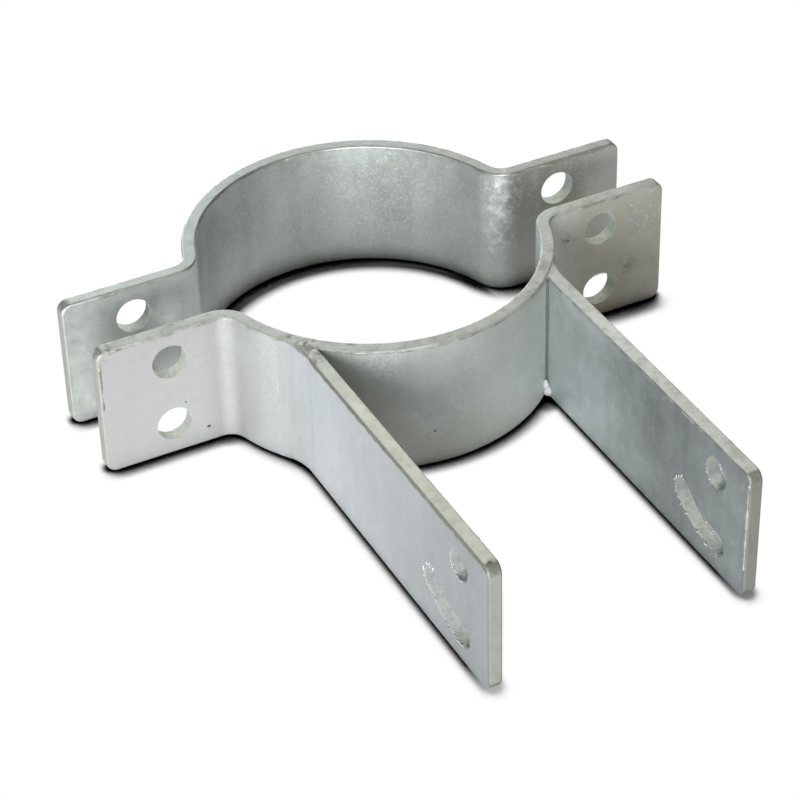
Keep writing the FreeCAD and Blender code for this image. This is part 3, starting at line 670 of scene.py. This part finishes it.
# Single specks caught in the coat: place and size in mm
DROSS_SPECKS = [
    ((-71.8, BOLT_FACE, 6.4), (0.75, 0.4, 0.55)), ((-79.5, BOLT_FACE, 19.5), (0.35, 0.2, 0.3)),
    ((-9.2, -62.8, 13.9), (0.5, 0.3, 0.4)), ((70.7, BOLT_FACE, 37.0), (0.5, 0.25, 0.4))]
ZINC_PIMPLES = [
    ((97.1, BOLT_FACE, 44.0), (0.6, 0.3, 0.5)), ((104.0, BOLT_FACE, 37.1), (0.5, 0.3, 0.6)),
    ((107.2, BOLT_FACE, 30.9), (0.4, 0.25, 0.5)), ((100.9, BOLT_FACE, 31.2), (0.6, 0.3, 0.7)),
    ((104.7, BOLT_FACE, 41.6), (0.4, 0.25, 0.4)), ((99.0, BOLT_FACE, 36.1), (0.45, 0.3, 0.6)),
    ((103.1, BOLT_FACE, 27.9), (0.4, 0.25, 0.5)), ((106.0, BOLT_FACE, 34.5), (0.35, 0.2, 0.5)),
    ((ARM_INNER + 0.7, ARM_END + 0.8, 45.5), (0.9, 0.7, 1.2))]
SPECK_PIECES = [("dross_specks", DROSS_SPECKS, dross), ("zinc_pimples", ZINC_PIMPLES, drop_zinc)]
for name, specks, finish in SPECK_PIECES:
    work = bmesh.new()
    for centre, size in specks:
        squash = Matrix.Diagonal([value * MM for value in size]).to_4x4()
        put = Matrix.Translation([value * MM for value in centre]) @ squash
        bmesh.ops.create_icosphere(work, subdivisions=2, radius=1.0, matrix=put)
    place_mesh(name, work, finish)


# Stage: the low window's direction in degrees, and each arm's shadow by its far face and length in mm
WINDOW_AZIMUTH = -30
ARM_SHADOWS = [(-ARM_INNER, 24), (ARM_OUTER, 34)]


def studio_floor():
    """White floor with a tight dark shadow at the bracket's feet and a short soft one behind each arm."""
    material, tree, output = new_material("white_paper_floor")
    place = add_node(tree, "ShaderNodeTexCoord", give="Object")
    axes = add_node(tree, SPLIT, [place], give=None).outputs
    # The window's foot on the floor, and the distances from it between which the shadow grows, in metres
    window_foot = (-0.15, -0.33, 0)
    grows = (0.35, 0.38)
    gap = add_node(tree, VECTOR, [place, window_foot], give="Value", operation="DISTANCE")
    # The sky that the bracket hides from the floor in front of it; the shadow is longer far from the window
    lean = math.radians(64)
    ahead = add_node(tree, "ShaderNodeCombineXYZ", [0.0, math.sin(lean), math.cos(lean)])
    reach = add_node(tree, RANGE, [gap, *grows, 7.5 * MM, 11 * MM])
    core = add_node(tree, RANGE, [gap, *grows, 0.41, 0.5])
    front_sky = add_node(tree, OCCLUSION, {"Distance": reach, "Normal": ahead}, **SKY)
    front = add_node(tree, RANGE, [front_sky, core, 0.85], **SMOOTH)
    # The sky straight above: a narrow line under the plates, and a wider one inside the ring
    bore = STRAP_RADIUS - BAR_THICKNESS
    middle = (0, REAR_SETBACK / 2 * MM, 0)
    from_axis = add_node(tree, VECTOR, [place, middle], give="Value", operation="DISTANCE")
    inside = add_node(tree, RANGE, [from_axis, (bore - 0.5) * MM, (bore + 1.5) * MM, 1.0, 0.0])
    reach = add_node(tree, RANGE, [inside, 0.0, 1.0, 3.3 * MM, 7 * MM])
    core = add_node(tree, RANGE, [inside, 0.0, 1.0, 0.54, 0.78])
    near_sky = add_node(tree, OCCLUSION, {"Distance": reach}, **SKY)
    near = add_node(tree, RANGE, [near_sky, core, 0.99], **SMOOTH)
    light = add_node(tree, MATH, [front, near], operation="MULTIPLY")
    # Behind each arm a short soft shadow runs along the low window's light, from the arm's far face
    slant = 1 / math.tan(math.radians(WINDOW_AZIMUTH))
    beside = add_node(tree, "ShaderNodeCombineXYZ", [-math.sin(lean), 0.0, math.cos(lean)])
    side_sky = add_node(tree, OCCLUSION, {"Distance": 80 * MM, "Normal": beside}, **SKY)
    side = add_node(tree, RANGE, [side_sky, 0.65, 0.95, 0.62, 0.0], **SMOOTH)
    before_ring = add_node(tree, RANGE, [axes["Y"], -0.09, -0.07, 1.0, 0.0])
    for face, length in ARM_SHADOWS:
        out = add_node(tree, MATH, [axes["X"], face * MM], operation="SUBTRACT")
        past_face = add_node(tree, MATH, [out, 0.0], operation="GREATER_THAN")
        fade = add_node(tree, RANGE, [out, length * 0.75 * MM, length * MM, 1.0, 0.0])
        along = add_node(tree, MATH, [out, slant, axes["Y"]], operation="MULTIPLY_ADD")
        lee = add_node(tree, RANGE, [along, ARM_END * MM, (ARM_END + 10) * MM])
        hidden = side
        for limit in (before_ring, past_face, fade, lee):
            hidden = add_node(tree, MATH, [hidden, limit], operation="MULTIPLY")
        behind = add_node(tree, MATH, [1.0, hidden], operation="SUBTRACT")
        light = add_node(tree, MATH, [light, behind], operation="MULTIPLY")
    # The shadow is weak at the arms' ends, most of all on the window's side
    weakest = add_node(tree, RANGE, [axes["X"], -0.05, 0.05, 0.4, 0.75])
    depth = add_node(tree, RANGE, [axes["Y"], -0.177, -0.158, weakest, 1.0])
    dark = add_node(tree, MATH, [1.0, light], operation="SUBTRACT")
    shade = add_node(tree, MATH, [dark, depth], operation="MULTIPLY")
    white = add_node(tree, MATH, [1.0, shade], operation="SUBTRACT")
    rays = add_node(tree, "ShaderNodeLightPath", give=None).outputs
    seen = add_node(tree, MATH, [rays["Is Camera Ray"], rays["Is Glossy Ray"]], operation="MAXIMUM")
    shown = add_node(tree, MATH, [seen, rays["Is Transmission Ray"]], operation="MAXIMUM")
    paper = add_node(tree, "ShaderNodeBsdfPrincipled", {
        "Base Color": linear("#F0F0F0"), "Roughness": 0.9})
    glow = add_node(tree, "ShaderNodeEmission", {"Color": white})
    mixed = add_node(tree, "ShaderNodeMixShader", [shown, paper, glow])
    tree.links.new(mixed, output.inputs["Surface"])
    return material


FLOOR_REACH = 4.0
corners = [(x * FLOOR_REACH, y * FLOOR_REACH, 0) for x, y in ((-1, -1), (1, -1), (1, 1), (-1, 1))]
floor_mesh = bpy.data.meshes.new("floor")
floor_mesh.from_pydata(corners, [], [(0, 1, 2, 3)])
floor_mesh.materials.append(studio_floor())
floor = bpy.data.objects.new("floor", floor_mesh)
scene.collection.objects.link(floor)


def direction(azimuth, elevation):
    """The way to a point seen from the bracket, in degrees; azimuth 0 is the arms' side."""
    turn = math.radians(azimuth)
    rise = math.radians(elevation)
    return Vector((math.sin(turn) * math.cos(rise), -math.cos(turn) * math.cos(rise), math.sin(rise)))


# The point that the lights face, and a light's width for its distance
LIT_POINT = Vector((0, -0.05, 0.025))
LIGHT_SPREAD = 0.4


def softbox(name, azimuth, elevation, level, distance, tint="#FFFFFF"):
    """Hang a round soft light that gives a facing white surface this level."""
    away = direction(azimuth, elevation)
    lamp = bpy.data.lights.new(name, "AREA")
    lamp.shape = "DISK"
    lamp.size = LIGHT_SPREAD * distance
    lamp.energy = level * math.pi ** 2 * distance ** 2
    lamp.color = linear(tint)[:3]
    light = bpy.data.objects.new(name, lamp)
    light.location = LIT_POINT + away * distance
    light.rotation_euler = away.to_track_quat("Z", "Y").to_euler()
    scene.collection.objects.link(light)


# Name, azimuth and elevation in degrees, level, distance in metres, tint
softbox("window_low", WINDOW_AZIMUTH, 8, 1.66, 1.6)
softbox("window_high", -37, 28, 0.3, 1.6, "#CFEEFF")
softbox("left_near", -90, 8, 0.34, 0.55)
softbox("back_right_near", 150, 8, 0.38, 0.55)
softbox("back_near", 180, 14, 0.64, 0.55, "#F0FBFF")
softbox("overhead_front", 0, 60, 0.4, 1.6, "#FFEFD0")
softbox("overhead_back", 150, 62, 0.28, 1.6)

world = bpy.data.worlds.new("studio")
scene.world = world
world.use_nodes = True
background = world.node_tree.nodes["Background"].inputs
background["Color"].default_value = linear("#FFFFFF")
background["Strength"].default_value = 0.02

# Camera, fitted to the photograph: angles in degrees, lengths in mm
CAMERA_AZIMUTH = -26.248
CAMERA_ELEVATION = 36.684
CAMERA_ROLL = -1.622
CAMERA_AIM = (-18.184, -54.808, 25)
CAMERA_DISTANCE = 932.716
LENS = 124.287
SENSOR = 36
azimuth = math.radians(CAMERA_AZIMUTH)
roll = math.radians(CAMERA_ROLL)
back = direction(CAMERA_AZIMUTH, CAMERA_ELEVATION)
level_right = Vector((math.cos(azimuth), math.sin(azimuth), 0))
level_up = back.cross(level_right)
right = level_right * math.cos(roll) + level_up * math.sin(roll)
up = level_up * math.cos(roll) - level_right * math.sin(roll)
stand = Matrix.Translation(Vector(CAMERA_AIM) * MM + back * (CAMERA_DISTANCE * MM))
camera = bpy.data.objects.new("camera", bpy.data.cameras.new("camera"))
camera.data.sensor_width = SENSOR
camera.data.lens = LENS
camera.matrix_world = stand @ Matrix((right, up, back)).transposed().to_4x4()
scene.collection.objects.link(camera)
scene.camera = camera
